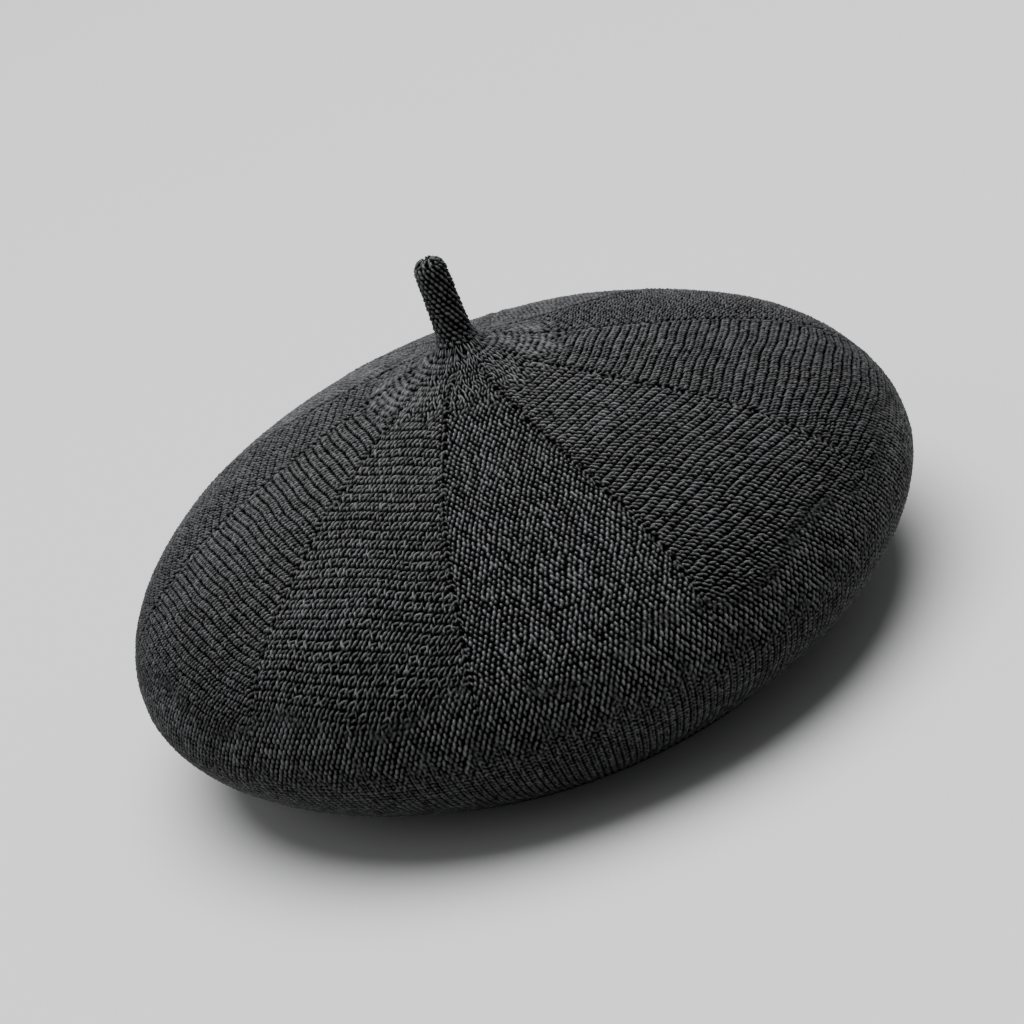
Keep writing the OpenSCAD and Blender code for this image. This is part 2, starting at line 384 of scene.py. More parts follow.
def cloth_stitches(gore, s, r, off):
    """The loops over most of one gore, in rows that run straight across it."""
    ribs, lean, zigzag, slant, pitch, row_pitch, half_len, half_wide = GORE_LAY[gore]
    chord = s * np.cos(off * r / s)
    level = smooth_step(ROW_BEND[0], S_RIM - ROW_BEND[1], s)
    width = r * off
    rows = chord * (1 - level) + s * level + slant * width
    u, v = wander(width + 60, rows, 0.28)
    return stitches(u, v, (pitch, row_pitch), (half_len, half_wide), lean, 10 * gore + 5,
                    zigzag=zigzag, ribs=ribs * (1 - 0.5 * smooth_step(130, 155, s)))


def gore_relief(gore, s, t):
    """(lift in mm, height of the yarn from 0 to 1, tone from 0 to 1) over one gore.

    s is the distance from the middle, and t runs from 0 to 1 between the gore's two edges."""
    start, end = gore_span(gore)
    azimuth = start + (end - start) * t
    r = radius_at(s)
    off = azimuth - (start + end) / 2
    half_span = (end - start) / 2
    turned = azimuth - line_turn(s)
    cloth = cloth_stitches(gore, s, r, off)
    inner = 1 - smooth_step(*STRAND_CLOTH, s + 3.5 * np.sin(turned * 19))
    outer = smooth_step(*RIM_CLOTH, s + 4 * np.sin(turned * 13))
    height, tone = mix(mix(cloth, strands(turned, s), inner), rim_stitches(azimuth, s), outer)
    edge = np.minimum(off + half_span, half_span - off) * r
    side = np.where(off < 0, 1.0, -1.0)
    nearest = np.where(off < 0, gore, (gore + 1) % len(GORE_EDGES))
    seam = seam_relief(s, edge * side, 100 * (1 + nearest))
    near_rim = smooth_step(*SEAM_NARROWS, s)
    narrowed = 0.7 * near_rim
    hold = 1 - smooth_step(SEAM_HALF[0] - narrowed, SEAM_HALF[1] - narrowed, edge)
    height, tone = mix((height, tone), seam, hold * fade(s, SEAM_ENDS))
    puff = 0.3 * np.exp(-((edge - 2.4) / 1.6) ** 2) * (1 - near_rim)
    sway = 0.35 * np.sin(azimuth * 3 + s / 31) * np.sin(s / 26) + 0.2 * np.sin(azimuth * 7 - s / 17)
    lift = RELIEF * (height - YARN_MIDDLE) + puff + sway * smooth_step(14, 40, s)
    return lift, np.clip(height, 0, 1), tone


# ---------------------------------------------------------------- gores
GORE_START_R = 14.0
FINE_COLUMNS = 224
FINE_STEP = 0.39
# Distance from the middle at which each band of the mesh ends, and its share of the columns.
GORE_BANDS = [(40, 4), (75, 2), (198, 1), (S_HEM, 2)]
BACK_COLUMNS, BACK_STEP = 28, 2.0       # the plain inner face has fewer points
PURL_SPAN, PURL_REACH = 250.0, 1000.0   # millimetres to one unit of the inside's along and across


def gore_rows():
    """The distance and the column count of each row of points down a gore."""
    rows = []
    s = float(distance_at(GORE_START_R))
    for end, share in GORE_BANDS:
        count = max(2, round((end - s) / FINE_STEP))
        for i in range(count):
            rows.append((s + (end - s) * i / count, FINE_COLUMNS // share))
        s = end
    rows.append((S_HEM, rows[-1][1]))
    return rows


def strip_faces(a, a_columns, b, b_columns):
    """Faces between a row of points from a on and the next from b on, halving or doubling."""
    if a_columns == b_columns:
        j = np.arange(a_columns)
        return np.stack([a + j, b + j, b + j + 1, a + j + 1], -1).tolist()
    if b_columns == 2 * a_columns:
        j = np.arange(a_columns)
        return np.stack([a + j, b + 2 * j, b + 2 * j + 1, b + 2 * j + 2, a + j + 1], -1).tolist()
    j = np.arange(b_columns)
    return np.stack([a + 2 * j, b + j, b + j + 1, a + 2 * j + 2, a + 2 * j + 1], -1).tolist()


def gore_outside(gore, rows):
    """The knitted face: its points, yarn heights, tones, faces and the first point of each row."""
    start, end = gore_span(gore)
    s = np.concatenate([np.full(columns + 1, at) for at, columns in rows])
    t = np.concatenate([np.linspace(0, 1, columns + 1) for _, columns in rows])
    lift, height, tone = gore_relief(gore, s, t)
    points = crown_point(s, start + (end - start) * t - line_turn(s), lift)
    firsts = np.cumsum([0] + [columns + 1 for _, columns in rows[:-1]]).tolist()
    faces = []
    for k in range(len(rows) - 1):
        faces += strip_faces(firsts[k], rows[k][1], firsts[k + 1], rows[k + 1][1])
    return points, height, tone, faces, firsts


def gore_inside(gore, rows):
    """The inner face's grid: the rows it shares, and its distances, azimuths and points."""
    start, end = gore_span(gore)
    every = max(1, round(BACK_STEP / FINE_STEP))
    shared = sorted({*range(0, len(rows), every), len(rows) - 1})
    s = np.repeat([rows[k][0] for k in shared], BACK_COLUMNS + 1)
    t = np.tile(np.linspace(0, 1, BACK_COLUMNS + 1), len(shared))
    azimuth = start + (end - start) * t - line_turn(s)
    return shared, s, azimuth, crown_point(s, azimuth, -KNIT_T + 0.15 * np.sin(s * 1.57))


def side_faces(rows, firsts, shared, back):
    """The gore's two long edges, from runs of knitted rows to the inner grid from back on."""
    width = BACK_COLUMNS + 1
    faces = []
    for n in range(len(shared) - 1):
        span = range(shared[n], shared[n + 1] + 1)
        at = back + n * width
        faces.append([firsts[k] for k in reversed(span)] + [at, at + width])
        faces.append([firsts[k] + rows[k][1] for k in span]
                     + [at + 2 * width - 1, at + width - 1])
    return faces


def end_faces(first, columns, back, flipped):
    """A short edge, between a knitted row from first on and the inner grid's from back on."""
    step = columns // BACK_COLUMNS
    faces = []
    for j in range(BACK_COLUMNS):
        along = [first + j * step + i for i in range(step + 1)]
        face = along[::-1] + [back + j, back + j + 1]
        faces.append(face[::-1] if flipped else face)
    return faces


def make_gore(gore, material, inside_material):
    """One wedge of the crown, a closed strip of knit from the stalk's foot to the hem."""
    rows = gore_rows()
    outside, height, tone, faces, firsts = gore_outside(gore, rows)
    shared, back_s, back_azimuth, inside = gore_inside(gore, rows)
    count, more = len(outside), len(inside)
    faces += grid_faces(len(shared), BACK_COLUMNS + 1, count)
    faces += side_faces(rows, firsts, shared, count)
    faces += end_faces(firsts[0], rows[0][1], count, True)
    faces += end_faces(firsts[-1], rows[-1][1], count + more - BACK_COLUMNS - 1, False)
    flat = np.zeros(count)
    attributes = {
        "yarn": np.concatenate([height, np.full(more, 0.6)]),
        "tone": np.concatenate([tone, np.full(more, 0.5)]),
        "along": np.concatenate([flat, back_s / PURL_SPAN]),
        "across": np.concatenate([flat, back_azimuth * radius_at(back_s) / PURL_REACH]),
    }
    points = np.concatenate([outside, inside])
    name = f"knit_gore_{gore + 1:02d}"
    obj = build_mesh(name, points, faces, attributes=attributes, material=material)
    obj.data.materials.append(inside_material)
    inner = [min(polygon.vertices) >= count for polygon in obj.data.polygons]
    obj.data.polygons.foreach_set("material_index", inner)
    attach(obj, "crown")
    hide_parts(f"gore_{gore + 1:02d}")


# ---------------------------------------------------------------- helpers for the small pieces
def joined(parts):
    """Several (points, faces) as one."""
    points, faces, count = [], [], 0
    for part_points, part_faces in parts:
        points.append(part_points)
        faces += [[k + count for k in face] for face in part_faces]
        count += len(part_points)
    return np.concatenate(points), faces


def closed_grid(rows, cols):
    """Quads over a grid that closes on itself both ways."""
    i, j = np.meshgrid(np.arange(rows), np.arange(cols), indexing="ij")
    n, k = (i + 1) % rows, (j + 1) % cols
    return np.stack([i * cols + j, i * cols + k, n * cols + k, n * cols + j], -1).reshape(-1, 4).tolist()


def path_frame(path, up, closed):
    """Two unit directions across a path at each of its points."""
    if closed:
        tangent = np.roll(path, -1, 0) - np.roll(path, 1, 0)
    else:
        tangent = np.gradient(path, axis=0)
    tangent /= np.linalg.norm(tangent, axis=1, keepdims=True)
    side = np.cross(np.broadcast_to(np.asarray(up, float), path.shape), tangent)
    side /= np.linalg.norm(side, axis=1, keepdims=True)
    return side, np.cross(tangent, side)


def sweep(path, radius, up, sides=8, closed=False):
    """A round tube along a path, as points and faces."""
    side, over = path_frame(path, up, closed)
    turn = np.linspace(0, 2 * math.pi, sides, endpoint=False)[None, :, None]
    ring = path[:, None] + (np.cos(turn) * side[:, None] + np.sin(turn) * over[:, None]) * radius
    if closed:
        return ring.reshape(-1, 3), closed_grid(len(path), sides)
    last = (len(path) - 1) * sides
    ends = [list(range(sides))[::-1], list(range(last, last + sides))]
    return ring.reshape(-1, 3), grid_faces(len(path), sides, wrap=True) + ends


def plied(path, radius, up, turns, plies=2, sides=8, closed=False):
    """A yarn of that radius along a path, twisted from several plies."""
    side, over = path_frame(path, up, closed)
    share = np.arange(len(path)) / (len(path) if closed else len(path) - 1)
    parts = []
    for ply in range(plies):
        turn = (2 * math.pi * (turns * share + ply / plies))[:, None]
        line = path + (np.cos(turn) * side + np.sin(turn) * over) * radius * 0.48
        parts.append(sweep(line, radius * 0.55, up, sides, closed))
    return joined(parts)


def round_path(r, z, start, end, count, centre=(0, 0)):
    """Points on a level arc, from one angle in degrees to another."""
    a = np.radians(np.linspace(start, end, count))
    return np.stack([centre[0] + r * np.cos(a), centre[1] + r * np.sin(a),
                     np.broadcast_to(np.asarray(z, float), a.shape)], -1)


def section_line(corners, step):
    """Points along a closed outline of (r, z) corners, and the outward direction at each."""
    points = []
    for a, b in zip(corners, corners[1:] + corners[:1]):
        count = max(1, round(math.dist(a, b) / step))
        points += [(a[0] + (b[0] - a[0]) * i / count, a[1] + (b[1] - a[1]) * i / count)
                   for i in range(count)]
    line = np.array(points)
    along = np.roll(line, -1, 0) - np.roll(line, 1, 0)
    along /= np.linalg.norm(along, axis=1, keepdims=True)
    return line, np.stack([along[:, 1], -along[:, 0]], -1)


def ring_band(corners, step, columns, relief, start=0.0, end=360.0):
    """A band round the crown's axis with that closed outline, counter-clockwise in (r, z).

    relief(azimuth, r, z, out_r) is the lift of its faces, which is given back as the third
    result. A part circle gets flat ends."""
    line, out = section_line(corners, step)
    full = end - start >= 360
    azimuth = np.radians(np.linspace(start, end, columns + (0 if full else 1), endpoint=not full))
    a, r = np.meshgrid(azimuth, line[:, 0], indexing="ij")
    z, out_r = np.broadcast_to(line[:, 1], a.shape), np.broadcast_to(out[:, 0], a.shape)
    lift = relief(a, r, z, out_r)
    reach = r + out_r * lift
    points = np.stack([reach * np.cos(a), reach * np.sin(a), z + out[:, 1] * lift], -1)
    size = len(line)
    if full:
        faces = closed_grid(len(azimuth), size)
    else:
        last = (len(azimuth) - 1) * size
        ends = [list(range(size))[::-1], list(range(last, last + size))]
        faces = grid_faces(len(azimuth), size, wrap=True) + ends
    return points.reshape(-1, 3), [face[::-1] for face in faces], lift.ravel()


def relief_attributes(lift, depth):
    """The yarn's height from 0 to 1, from a lift between -depth and 0, and a tone that sinks with it as
    painted shade in the grooves.
    """
    yarn = np.clip(1 + lift / depth, 0, 1)
    # The tone darkens with the yarn height, which paints shade into the grooves.
    return {"yarn": yarn, "tone": 0.4 + 0.3 * yarn}


def add_piece(name, part, material, nodes, attributes=None, body="crown"):
    """A piece that stands for those CAD nodes and rides on that body, if one is given."""
    obj = build_mesh(name, part[0], part[1], attributes=attributes, material=material)
    if body is not None:
        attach(obj, body)
    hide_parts(*nodes)
    return obj


# ---------------------------------------------------------------- the stalk and its foot
FOOT_COLUMNS = 336
STALK_COLUMNS, TIP_LOOPS = 18, 11
STALK_SIDES, STALK_RINGS = 216, 170
STALK_LOW_Z = 121.6
STALK_TIP_Z = STALK_BEND_Z + STALK_LEN
STALK_TIP_ROUND = 4.6


def make_foot(material):
    """The middle of the crown, whose strands run up into the stalk's collar."""
    s = np.concatenate([np.linspace(FOOT_R - 0.6, GORE_START_R, 50),
                        np.linspace(GORE_START_R + 0.2, GORE_START_R + 1.8, 6)])
    s = distance_at(s)
    turn = np.linspace(0, 2 * math.pi, FOOT_COLUMNS, endpoint=False)
    s, azimuth = np.meshgrid(s, turn, indexing="ij")
    height, tone = strands(azimuth, s)
    edge_s = float(distance_at(GORE_START_R))
    tuck = 0.9 * smooth_step(edge_s, edge_s + 0.7, s)
    outside = crown_point(s, azimuth, RELIEF * (height - YARN_MIDDLE) - tuck)
    inside = crown_point(s, azimuth, np.full(s.shape, -KNIT_T - 0.4))
    points = np.concatenate([outside, inside[::-1]]).reshape(-1, 3)
    faces = closed_grid(2 * len(s), FOOT_COLUMNS)
    value = np.concatenate([height, np.full(s.shape, 0.5)]).ravel()
    shade = np.concatenate([tone, np.full(s.shape, 0.5)]).ravel()
    add_piece("stalk_foot_knit", (points, [face[::-1] for face in faces]), material,
              ["stalk_foot"], {"yarn": value, "tone": shade})


def stalk_profile(count):
    """Radius, height and length along the outside of the stalk, from its foot to its tip."""
    z = np.linspace(STALK_LOW_Z, STALK_TIP_Z - STALK_TIP_ROUND, 200)
    share = (z - STALK_LOW_Z) / (z[-1] - STALK_LOW_Z)
    r = FOOT_R + (TIP_R - FOOT_R) * share + 1.3 * np.exp(-(z - STALK_LOW_Z) / 1.6)
    turn = np.linspace(0, math.pi / 2, 120)[1:]
    r = np.concatenate([r, TIP_R * np.cos(turn) ** 0.86])
    z = np.concatenate([z, z[-1] + STALK_TIP_ROUND * np.sin(turn) ** 1.05])
    length = np.concatenate([[0], np.cumsum(np.hypot(np.diff(r), np.diff(z)))])
    at = np.linspace(0, length[-1], count)
    return np.interp(at, length, r), np.interp(at, length, z), at


def stalk_relief(azimuth, along, length):
    """Beads in a spiral round the tube, gathered into loops over its tip: (height, tone)."""
    wide = 2 * math.pi * FOOT_R / STALK_COLUMNS
    u = azimuth * STALK_COLUMNS / (2 * math.pi) * wide
    beads = stitches(u, along, (wide, 1.75), (1.2, 0.66), -38, 41, stray=0.08,
                     around=STALK_COLUMNS)
    loops = stitches(azimuth * TIP_LOOPS / (2 * math.pi), along, (1.0, 2.7), (1.75, 0.36), 0, 44,
                     stray=0.1, stagger=0.3, around=TIP_LOOPS)
    return mix(beads, loops, smooth_step(length - 5.5, length - 4.0, along))


def round_stalk(reach, azimuth, z):
    """Points round the stalk's axis."""
    return np.stack([STALK_X + reach * np.cos(azimuth), STALK_Y + reach * np.sin(azimuth),
                     np.broadcast_to(z, azimuth.shape)], -1)


def make_stalk(material):
    """The knitted tube, closed over its tip and hollow for the cord."""
    r, z, along = stalk_profile(STALK_RINGS)
    out_r, out_z = np.gradient(z, along), -np.gradient(r, along)
    turn = np.linspace(0, 2 * math.pi, STALK_SIDES, endpoint=False)
    v, azimuth = np.meshgrid(along, turn, indexing="ij")
    height, tone = stalk_relief(azimuth, v, along[-1])
    lift = 0.9 * (height - 0.45) * smooth_step(0, 1.2, along[-1] - v)
    dimple = 0.9 * np.exp(-((along[-1] - v) / 1.3) ** 2)
    reach = r[:, None] + out_r[:, None] * lift
    outside = round_stalk(reach, azimuth, z[:, None] + out_z[:, None] * lift - dimple)[:-1]
    hollow_r = np.minimum(CORE_R + 0.3, r * 0.62)
    hollow_z = np.minimum(z, STALK_TIP_Z - 3.4)
    inside = round_stalk(hollow_r[:, None], azimuth, hollow_z[:, None] - 0.004 * along[:, None])
    inside = inside[:-1:5][::-1]
    points = np.concatenate([outside.reshape(-1, 3), inside.reshape(-1, 3)])
    faces = closed_grid(len(outside) + len(inside), STALK_SIDES)
    # The last ring outside and the first inside each get a cap in place of quads between them.
    tip = (len(outside) - 1) * STALK_SIDES
    faces = faces[:tip] + faces[tip + STALK_SIDES:]
    faces.append(list(range(tip, tip + STALK_SIDES)))
    faces.append(list(range(tip + STALK_SIDES, tip + 2 * STALK_SIDES))[::-1])
    plain = np.full(inside.size // 3, 0.5)
    attributes = {"yarn": np.concatenate([height[:-1].ravel(), plain]),
                  "tone": np.concatenate([tone[:-1].ravel(), plain])}
    obj = add_piece("stalk_knit_tube", (points, faces), material, ["stalk"],
                    attributes, body=None)
    bend_stalk(obj)


def bend_stalk(obj):
    """Bake a piece's placement into its points; it is not bent."""
    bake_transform(obj)


def make_stalk_core(material):
    """The cord of three plies that fills the stalk."""
    z = np.linspace(STALK_BEND_Z + 0.3, STALK_TIP_Z - 5.3, 90)
    path = np.stack([np.full(len(z), STALK_X), np.full(len(z), STALK_Y), z], -1)
    part = plied(path, CORE_R, (1, 0, 0), 1.6, plies=3, sides=20)
    bend_stalk(add_piece("stalk_core_cord", part, material, ["stalk_core"], body=None))


def make_gather(material):
    """The drawn thread under the stalk's foot, and the knotted tail that holds it."""
    ring_z = STALK_BEND_Z - FOOT_R - 5
    path = round_path(FOOT_R + 2, ring_z, 0, 360, 241, (STALK_X, STALK_Y))[:-1]
    path[:, 2] += 0.25 * np.sin(np.linspace(0, 22 * math.pi, 240, endpoint=False))
    ring = plied(path, 1.0, (0, 0, 1), 18, sides=10, closed=True)
    add_piece("gather_ring_yarn", ring, material, ["gather_ring"])
    centre = np.array([STALK_X, STALK_Y, ring_z - 1.7])
    a = np.linspace(0, 2 * math.pi, 300, endpoint=False)
    knot = np.stack([np.sin(a) + 2 * np.sin(2 * a), np.cos(a) - 2 * np.cos(2 * a),
                     -1.6 * np.sin(3 * a)], -1) * 0.62 + centre
    parts = [plied(knot, 0.85, (0.3, 0.2, 1), 24, sides=8, closed=True)]
    for k, direction in enumerate(((1, 0), (0, 1))):
        x = np.linspace(-FOOT_R - 2, FOOT_R + 2, 70)
        sag = 0.5 * np.cos(x / 3.4 + k)
        tail = np.stack([x * direction[0] + 0.3 * direction[1] * np.sin(x), x * direction[1]
                         + 0.3 * direction[0] * np.sin(x), sag - 0.4 - 0.9 * k], -1)
        parts.append(plied(tail + centre, 0.5, (0, 0, 1), 9, sides=6))
    add_piece("tail_knot_yarn", joined(parts), material, ["tail_knot"])


def make_linking(material):
    """Chain stitches that link the gores, along each join inside the crown."""
    s = np.arange(float(distance_at(GORE_START_R + 6)), S_HEM - 7, 0.6)
    parts = []
    for degrees in GORE_EDGES:
        edge = math.radians(degrees)
        azimuth = edge - line_turn(s)
        for strand in (0, math.pi):
            across = 0.75 * np.sin(2 * math.pi * s / SEAM_PITCH + strand)
            lift = -KNIT_T - 0.75 + 0.22 * np.cos(4 * math.pi * s / SEAM_PITCH + strand)
            path = crown_point(s, azimuth + across / radius_at(s), lift)
            parts.append(sweep(path, 0.36, (-math.sin(edge), math.cos(edge), 0.001), sides=6))
    add_piece("linking_chain", joined(parts), material, ["linking_yarn"])


# ---------------------------------------------------------------- hem, sweatband and label
HEM_RIBS, HEM_STITCHES = 244, 90
HEM_ROUND, HEM_CUT = 0.9, 0.27      # the hem's lower corners: their radius, and their middle's inset
STITCH_LOW, STITCH_RISE, STITCH_SPAN = 1.62, 0.6, 2.3               # the span is in degrees
GROSGRAIN_RIBS = 600
JOIN_TAPE_HALF, JOIN_TAPE_T = 7.0, 0.6
LABEL_HALF, LABEL_LOW, LABEL_H, LABEL_T = 16.0, 6.0, 24.0, 0.5      # its foot is behind the ribbon
BARTACK_OUT, BARTACK_LOW, BARTACK_H = 13.0, 1.2, 3.0                # from the label's middle and foot
BARTACK_TURNS, BARTACK_SWING = 6, 0.009                             # the swing is in radians


def hem_relief(azimuth, r, z, out_r):
    """Upright ribs of loops over the hem's outer and inner faces."""
    column = azimuth * HEM_RIBS / (2 * math.pi)
    outer = smooth_step(-0.1, 0.1, r - HEM_OUTER_R + 1.2) + smooth_step(-0.1, 0.1, 0.7 - z)
    inner = smooth_step(-0.1, 0.1, HEM_INNER_R + 0.5 - r)
    rib = np.abs(np.cos(math.pi * column))
    loop = 0.12 * np.cos(2 * math.pi * (z / 1.8 + 0.25 * np.cos(2 * math.pi * column)))
    return np.clip(outer + inner, 0, 1) * (0.42 * rib - 0.42 + loop * rib)


def make_hem(material):
    """The knitted edge of the opening, turned up in two layers round the elastic's channel."""
    inner, outer, top = HEM_INNER_R, HEM_OUTER_R, HEM_T
    wall = inner + HEM_T
    corners = [(inner, HEM_ROUND), (inner + HEM_CUT, HEM_CUT), (inner + HEM_ROUND, 0),
               (outer - HEM_ROUND, 0), (outer - HEM_CUT, HEM_CUT), (outer, HEM_ROUND),
               (outer, HEM_OUTER_H), (outer - HEM_T, HEM_OUTER_H), (outer - HEM_T, top),
               (wall, top), (wall, HEM_INNER_H), (inner, HEM_INNER_H)]
    part = ring_band(corners, 0.52, 4 * HEM_RIBS, hem_relief)
    add_piece("hem_ribbing", part, material, ["hem"], relief_attributes(part[2], 0.55))


def elastic_relief(azimuth, r, z, out_r):
    """Rubber cords along the tape, with a fine weave over them."""
    cords = 0.5 + 0.5 * np.cos(2 * math.pi * (z - HEM_T) / 1.0)
    weave = np.cos(azimuth * 720)
    return (0.14 * cords + 0.05 * weave - 0.19) * np.abs(out_r)


def make_elastic(material):
    """The elastic tape in the hem's channel."""
    r, z = HEM_INNER_R + HEM_T + (CHANNEL_W - ELASTIC_T) / 2, HEM_T + 0.3
    corners = [(r, z), (r + ELASTIC_T, z), (r + ELASTIC_T, z + ELASTIC_H), (r, z + ELASTIC_H)]
    part = ring_band(corners, 0.25, 1440, elastic_relief, JOIN_ANGLE + 1, JOIN_ANGLE + 359)
    add_piece("hem_elastic_tape", part, material, ["hem_elastic"],
              relief_attributes(part[2], 0.36))


def ribbon_relief(azimuth, r, z, out_r):
    """The fine upright ribs of grosgrain."""
    rib = np.abs(np.cos(azimuth * GROSGRAIN_RIBS / 2))
    return (0.16 * rib - 0.2) * np.abs(out_r)


def make_sweatband(material):
    """The ribbon round the opening, and the short tape behind its two ends."""
    low, high = RIBBON_Z, RIBBON_Z + RIBBON_H
    corners = [(HEAD_R, low), (HEAD_R + RIBBON_T, low), (HEAD_R + RIBBON_T, high), (HEAD_R, high)]
    part = ring_band(corners, 2.0, 4 * GROSGRAIN_RIBS, ribbon_relief, JOIN_ANGLE + 0.3,
                     JOIN_ANGLE + 359.7)
    add_piece("sweatband_ribbon", part, material, ["sweatband"],
              relief_attributes(part[2], 0.24))
    half = math.degrees(JOIN_TAPE_HALF / HEM_INNER_R)
    low, high = HEM_INNER_H + 1, high - 1
    inner, outer = HEM_INNER_R, HEM_INNER_R + JOIN_TAPE_T
    corners = [(inner, low), (outer, low), (outer, high), (inner, high)]
    part = ring_band(corners, 1.0, 96, ribbon_relief, JOIN_ANGLE - half, JOIN_ANGLE + half)
    add_piece("join_tape_ribbon", part, material, ["sweatband_join_tape"],
              relief_attributes(part[2], 0.24))


def make_hem_stitches(material):
    """Whip stitches under the ribbon's lower edge, each of them a slanted bar of yarn."""
    parts = []
    stray = cell_noise(np.arange(HEM_STITCHES), 0, 61) - 0.5
    for k in range(HEM_STITCHES):
        share = np.linspace(0, 1, 12)
        start = 360 / HEM_STITCHES * k + 0.25 * float(stray[k])
        z = STITCH_LOW + STITCH_RISE * share + 0.1 * np.sin(math.pi * share)
        path = round_path(1, z, start, start + STITCH_SPAN, len(share))
        path[:, :2] *= (HEM_INNER_R - 0.28 - 0.06 * np.sin(math.pi * share))[:, None]
        parts.append(plied(path, 0.28, (0, 0, 1), 1.5, sides=6))
    add_piece("hem_whip_stitches", joined(parts), material, ["hem_stitches"])


def label_relief(azimuth, r, z, out_r):
    """A satin weave, with a raised border at both sides."""
    half = LABEL_HALF / HEM_INNER_R
    off = np.abs(azimuth - math.radians(BACK_ANGLE))
    border = smooth_step(half - 2.4 / HEM_INNER_R, half - 2.1 / HEM_INNER_R, off)
    weave = 0.5 + 0.5 * np.cos(azimuth * 620 + z * 4)
    return (0.1 * border + 0.04 * weave - 0.12) * np.abs(out_r)


def make_label(material, thread):
    """The blank woven label at the back, and the bar of stitches at each of its sides."""
    half = math.degrees(LABEL_HALF / HEM_INNER_R)
    low = RIBBON_Z + RIBBON_H - LABEL_LOW
    high = low + LABEL_H
    inner, outer = HEM_INNER_R, HEM_INNER_R + LABEL_T
    corners = [(inner, low), (outer, low), (outer, high), (inner, high)]
    part = ring_band(corners, 0.4, 220, label_relief, BACK_ANGLE - half, BACK_ANGLE + half)
    label = add_piece("blank_label", part, material, ["label"])
    parts = []
    for side in (-1, 1):
        a = math.radians(BACK_ANGLE + side * math.degrees(BARTACK_OUT / HEM_INNER_R))
        share = np.linspace(0, 1, 60)
        zigzag = a + BARTACK_SWING * np.sin(share * 2 * BARTACK_TURNS * math.pi)
        r, z = outer + 0.22, low + BARTACK_LOW + BARTACK_H * share
        path = np.stack([r * np.cos(zigzag), r * np.sin(zigzag), z], -1)
        parts.append(sweep(path, 0.2, (math.cos(a), math.sin(a), 0), sides=8))
    add_piece("label_bartacks", joined(parts), thread, ["label_stitches"])


# ---------------------------------------------------------------- materials
def new_material(name):
    """A node material, with its shader and its node tree."""
    material = bpy.data.materials.new(name)
    material.use_nodes = True
    shader = material.node_tree.nodes["Principled BSDF"]
    return material, shader, material.node_tree


def math_node(tree, operation, *inputs):
    """The result of a Math node on numbers and other nodes' outputs."""
    node = tree.nodes.new("ShaderNodeMath")
    node.operation = operation
    for socket, value in zip(node.inputs, inputs):
        if isinstance(value, (int, float)):
            socket.default_value = value
        else:
            tree.links.new(value, socket)
    return node.outputs[0]


def attribute(tree, name):
    """A per-point value of the mesh."""
    node = tree.nodes.new("ShaderNodeAttribute")
    node.attribute_name = name
    return node.outputs["Fac"]


def noise(tree, scale, detail=2.0, stretch=None):
    """Noise over the object's own coordinates, in metres."""
    place = tree.nodes.new("ShaderNodeTexCoord").outputs["Object"]
    if stretch is not None:
        mapping = tree.nodes.new("ShaderNodeMapping")
        mapping.inputs["Scale"].default_value = stretch
        tree.links.new(place, mapping.inputs["Vector"])
        place = mapping.outputs["Vector"]
    node = tree.nodes.new("ShaderNodeTexNoise")
    node.inputs["Scale"].default_value = scale
    node.inputs["Detail"].default_value = detail
    tree.links.new(place, node.inputs["Vector"])
    return node.outputs["Fac"]


def ramp(tree, value, stops):
    """A grey ramp through (position, level) stops, with a slight cool tint."""
    node = tree.nodes.new("ShaderNodeValToRGB")
    tree.links.new(value, node.inputs["Fac"])
    elements = node.color_ramp.elements
    for k, (at, level) in enumerate(stops):
        element = elements[k] if k < 2 else elements.new(at)
        element.position = min(at, 1.0)
        element.color = (level * 0.98, level * 0.99, level * 1.03, 1)
    return node.outputs["Color"]


def knit_material(name, light, dark, sheen):
    """Yarn with a soft gloss, its colour painted dark as shade in the gaps and down the loops' sides,
    full only on the loops' tops, and no two loops alike.
    """
    material, shader, tree = new_material(name)
    yarn, tone = attribute(tree, "yarn"), attribute(tree, "tone")
    fibre = noise(tree, 2600, 3)
    cloud = noise(tree, 22, 2)
    # Painted shade: the colour follows the yarn height, so gaps, grooves and eyelets are painted dark as
    # shade and the loops' tops stay lighter.
    value = math_node(tree, "MULTIPLY_ADD", yarn, 0.74, math_node(tree, "MULTIPLY", tone, 0.34))
    value = math_node(tree, "ADD", value, math_node(tree, "MULTIPLY_ADD", fibre, 0.3, -0.15))
    value = math_node(tree, "ADD", value, math_node(tree, "MULTIPLY_ADD", cloud, 0.16, -0.08))
    colour = ramp(tree, value, [(0.34, dark), (1.0, light), (0.64, light * 0.36)])
    top = math_node(tree, "MULTIPLY", yarn, yarn)
    tree.links.new(math_node(tree, "MULTIPLY", top, sheen), shader.inputs["Sheen Weight"])
    tree.links.new(math_node(tree, "MULTIPLY", top, 0.5), shader.inputs["Specular IOR Level"])
    tree.links.new(colour, shader.inputs["Base Color"])
    shader.inputs["Roughness"].default_value = 0.55
    shader.inputs["Sheen Roughness"].default_value = 0.45
    shader.inputs["Sheen Tint"].default_value = (0.9, 0.92, 1, 1)
    add_bump(tree, shader, fibre)
    return material


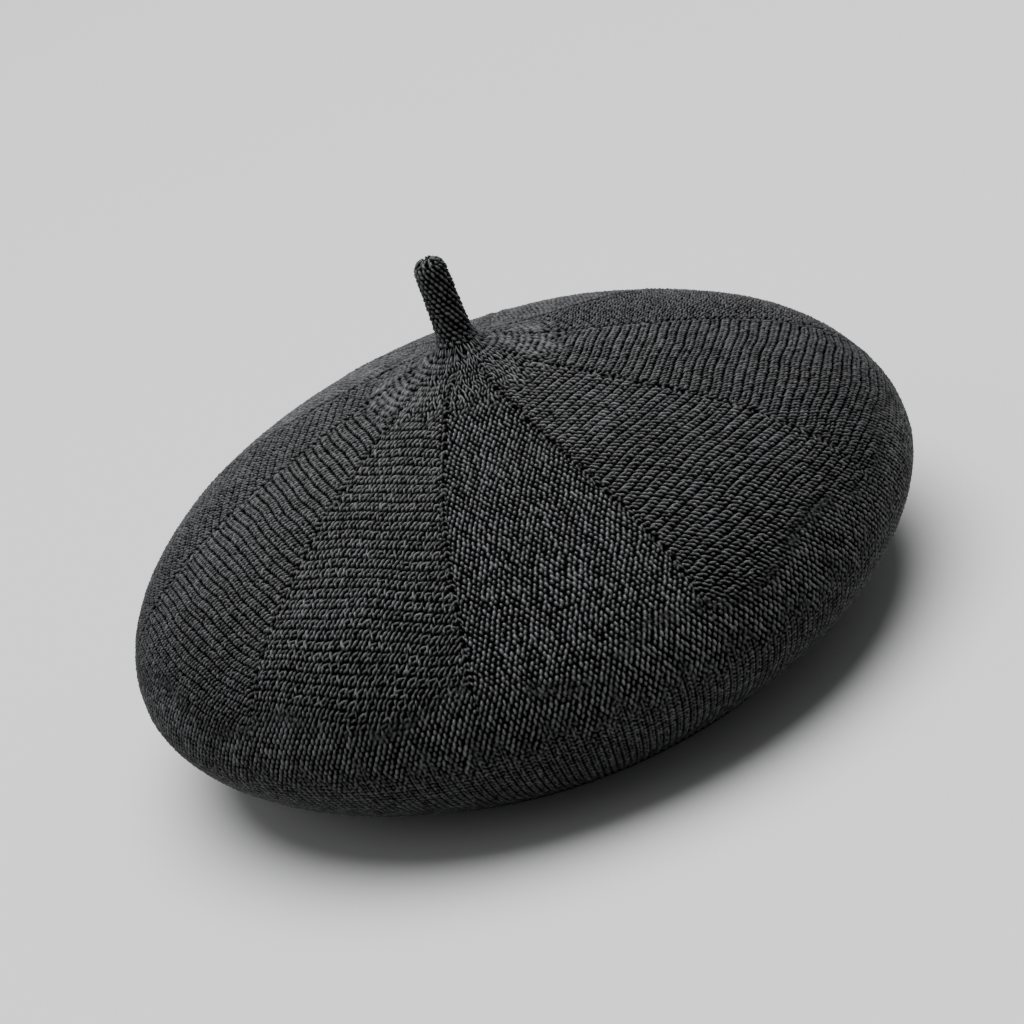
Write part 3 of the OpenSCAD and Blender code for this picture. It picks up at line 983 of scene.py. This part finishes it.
def inside_knit_material(name, light, dark):
    """The back of the knit: rows of small purl bumps, over the gores' inner faces, with painted shade
    between the bumps.
    """
    material, shader, tree = new_material(name)
    row = math_node(tree, "SINE", math_node(tree, "MULTIPLY", attribute(tree, "along"),
                                            2 * math.pi * PURL_SPAN / 1.8))
    loop = math_node(tree, "SINE", math_node(tree, "MULTIPLY", attribute(tree, "across"),
                                             2 * math.pi * PURL_REACH / 2.1))
    purl = math_node(tree, "MULTIPLY_ADD", loop, math_node(tree, "MULTIPLY", row, 0.25), 0.4)
    purl = math_node(tree, "ADD", purl, math_node(tree, "MULTIPLY", row, 0.15))
    value = math_node(tree, "ADD", purl, math_node(tree, "MULTIPLY", noise(tree, 1800), 0.25))
    # The colour darkens between the purl bumps as painted shade.
    tree.links.new(ramp(tree, value, [(0.2, dark), (0.9, light)]), shader.inputs["Base Color"])
    shader.inputs["Roughness"].default_value = 0.85
    shader.inputs["Specular IOR Level"].default_value = 0.15
    add_bump(tree, shader, value, 0.0009)
    return material


def cloth_material(name, light, dark, grain, roughness=0.8, sheen=0.15):
    """Plain yarn or woven cloth, mottled a little along its fibres."""
    material, shader, tree = new_material(name)
    fibre = noise(tree, grain, 3)
    cloud = noise(tree, 60, 2)
    value = math_node(tree, "MULTIPLY_ADD", cloud, 0.5, math_node(tree, "MULTIPLY", fibre, 0.5))
    colour = ramp(tree, value, [(0.35, dark), (0.68, light)])
    tree.links.new(colour, shader.inputs["Base Color"])
    shader.inputs["Roughness"].default_value = roughness
    shader.inputs["Specular IOR Level"].default_value = 0.25
    shader.inputs["Sheen Weight"].default_value = sheen
    shader.inputs["Sheen Roughness"].default_value = 0.4
    add_bump(tree, shader, fibre)
    return material


def add_bump(tree, shader, height, depth=0.0004):
    """A fine bump, with its depth in metres."""
    bump = tree.nodes.new("ShaderNodeBump")
    bump.inputs["Strength"].default_value = 0.35
    bump.inputs["Distance"].default_value = depth
    tree.links.new(height, bump.inputs["Height"])
    tree.links.new(bump.outputs["Normal"], shader.inputs["Normal"])


make_camera()
make_stage()
# Each knit material's dark level is the painted shade between its loops and in its grooves.
knit = knit_material("charcoal_knit", 0.062, 0.001, 0.012)
knit_inside = inside_knit_material("charcoal_knit_inside", 0.06, 0.004)
stalk_cloth = knit_material("charcoal_stalk_knit", 0.044, 0.001, 0.015)
yarn_cloth = cloth_material("charcoal_yarn", 0.05, 0.012, 1800)
hem_cloth = knit_material("charcoal_hem_knit", 0.07, 0.002, 0.02)
elastic_cloth = knit_material("grey_elastic", 0.2, 0.03, 0.02)
ribbon_cloth = knit_material("black_grosgrain", 0.04, 0.004, 0.02)
label_fabric = cloth_material("grey_label_satin", 0.42, 0.3, 2200, 0.5)
for gore_number in range(len(GORE_EDGES)):
    make_gore(gore_number, knit, knit_inside)
make_foot(knit)
make_stalk(stalk_cloth)
make_stalk_core(yarn_cloth)
make_gather(yarn_cloth)
make_linking(yarn_cloth)
make_hem(hem_cloth)
make_elastic(elastic_cloth)
make_sweatband(ribbon_cloth)
make_hem_stitches(yarn_cloth)
make_label(label_fabric, yarn_cloth)
